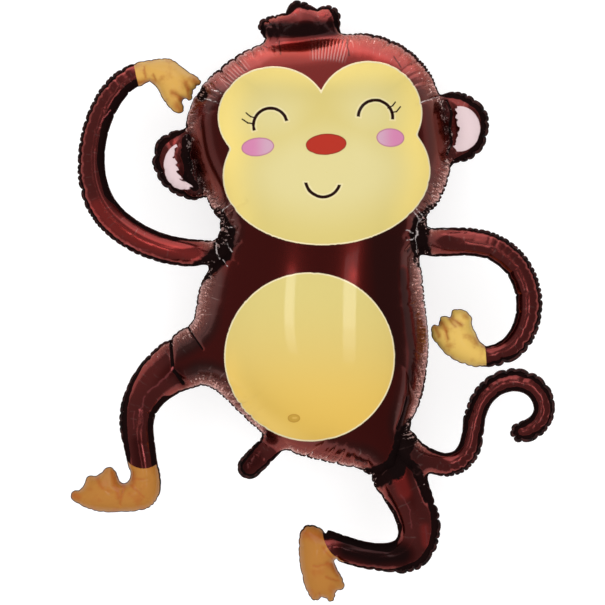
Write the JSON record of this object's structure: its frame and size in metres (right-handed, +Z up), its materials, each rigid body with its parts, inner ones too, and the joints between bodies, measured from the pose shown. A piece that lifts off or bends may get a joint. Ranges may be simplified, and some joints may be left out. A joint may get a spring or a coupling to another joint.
{
  "type": "foil balloon shaped as a dancing monkey",
  "caption": "Inflated foil balloon in the shape of a smiling, dancing monkey: pillow body, thin tube arms, legs and curled tail, welded rim and flat filler neck; lies on its back.",
  "frame": {"origin": "on the flat of the back, under the middle of the trunk", "axes": "+Z up through the thickness, out of the printed face; +Y towards the crown of the head; +X to the viewer's right when the face is seen"},
  "size_m": [0.6294, 0.7816, 0.2222],
  "materials": {
    "printed_foil": "metallised film printed dark red-brown with yellow face, belly, hands and feet; glossy, with fine puckers along the weld"
  },
  "bodies": {
    "root": {"foil_envelope": "printed_foil"}
  },
  "joints": []
}
